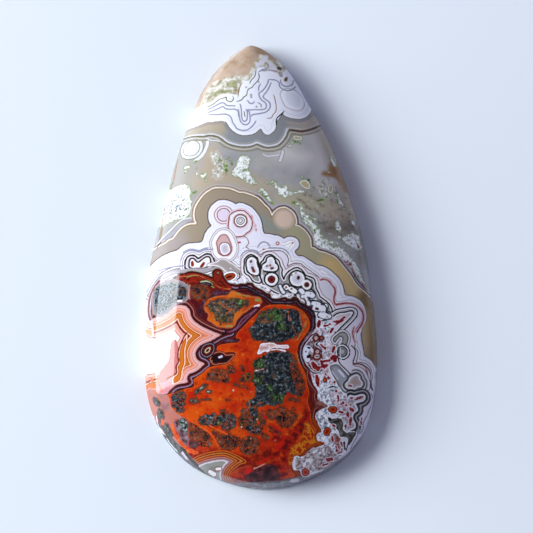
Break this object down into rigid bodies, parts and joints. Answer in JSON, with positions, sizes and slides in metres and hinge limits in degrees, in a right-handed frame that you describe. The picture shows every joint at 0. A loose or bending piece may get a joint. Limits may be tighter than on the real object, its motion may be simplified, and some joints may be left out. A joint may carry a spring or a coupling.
{
  "type": "crazy lace agate cabochon",
  "caption": "Pear-shaped polished agate cabochon with a low dome, a steep edge wall and a flat back for a bezel or glue-down setting.",
  "frame": {"origin": "middle of the flat back, at the centre of the stone's outline", "axes": "+Z out of the domed face, +Y towards the point of the pear, +X to the right with the dome facing up"},
  "size_m": [0.028, 0.0544, 0.0063],
  "materials": {
    "polished_agate": "polished lace-banded agate: white and grey lace, honey-grey bands, orange-red jasper"
  },
  "bodies": {
    "root": {"agate_cabochon": "polished_agate"}
  },
  "joints": []
}
